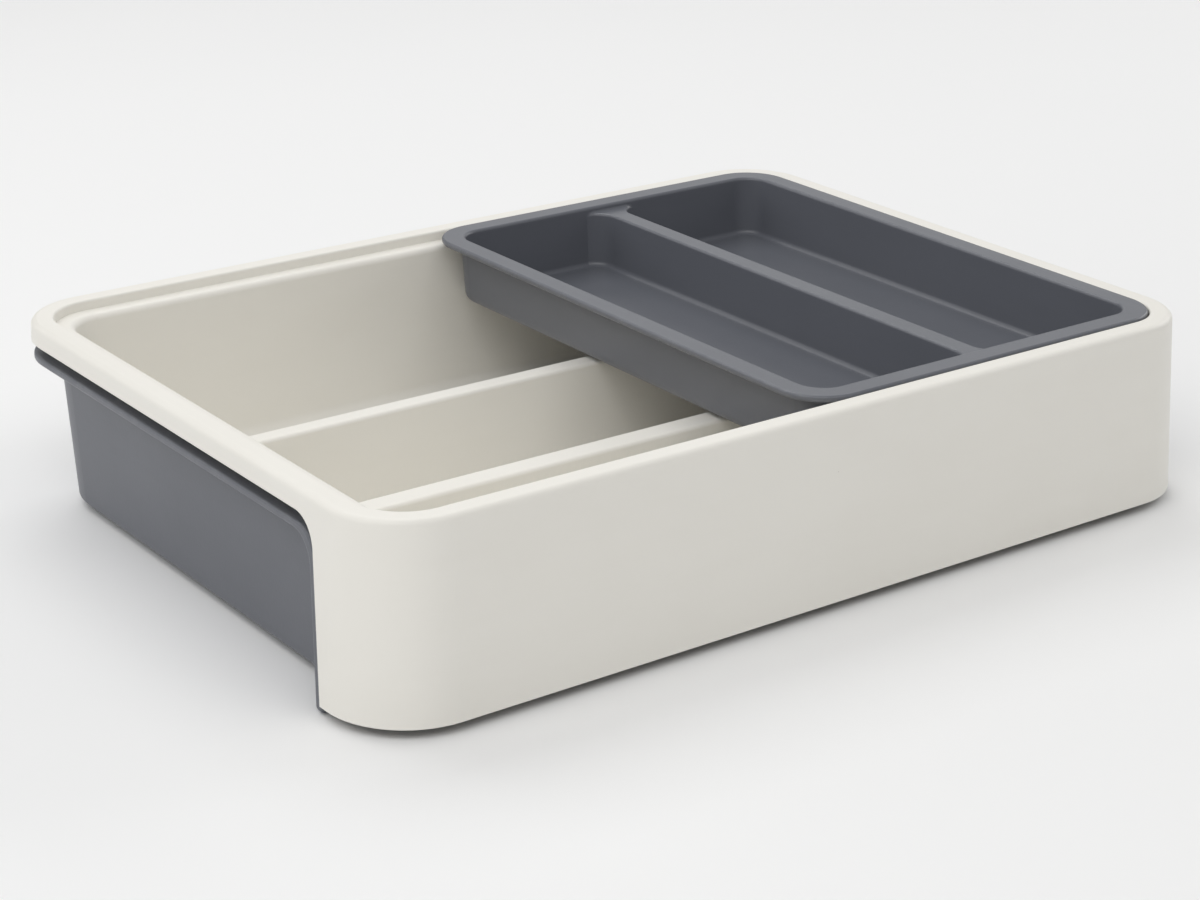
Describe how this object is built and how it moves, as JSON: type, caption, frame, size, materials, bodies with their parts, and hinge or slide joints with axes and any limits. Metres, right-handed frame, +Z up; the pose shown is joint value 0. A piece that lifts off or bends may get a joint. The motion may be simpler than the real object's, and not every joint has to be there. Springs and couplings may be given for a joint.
{
  "type": "cutlery tray",
  "caption": "Extending cutlery tray for a drawer: cream divided tray on a grey pull-out tray, with a grey upper tray that slides along ledges inside the rim.",
  "frame": {"origin": "centre of the closed tray's footprint, on the table", "axes": "+X along the length, +Y from the tall near wall towards the side the extension pulls out of, +Z up"},
  "size_m": [0.3596, 0.2602, 0.0714],
  "materials": {
    "cream_plastic": "fine satin moulded polypropylene, warm off-white",
    "grey_plastic": "fine satin moulded polypropylene, slate grey",
    "foot_rubber": "soft matt elastomer"
  },
  "bodies": {
    "main": {"main_tray": "cream_plastic", "main_foot_left": "foot_rubber", "main_foot_right": "foot_rubber"},
    "extension": {"extension_tray": "grey_plastic", "extension_foot_1": "foot_rubber", "extension_foot_2": "foot_rubber", "extension_foot_3": "foot_rubber", "extension_foot_4": "foot_rubber"},
    "upper": {"slide_tray": "grey_plastic"}
  },
  "joints": [
    {"name": "extension_pull", "type": "slide", "parent": "main", "child": "extension", "axis": [0, 1, 0], "range_m": [0, 0.15]},
    {"name": "upper_slide", "type": "slide", "parent": "main", "child": "upper", "axis": [1, 0, 0], "range_m": [-0.164, 0]}
  ]
}
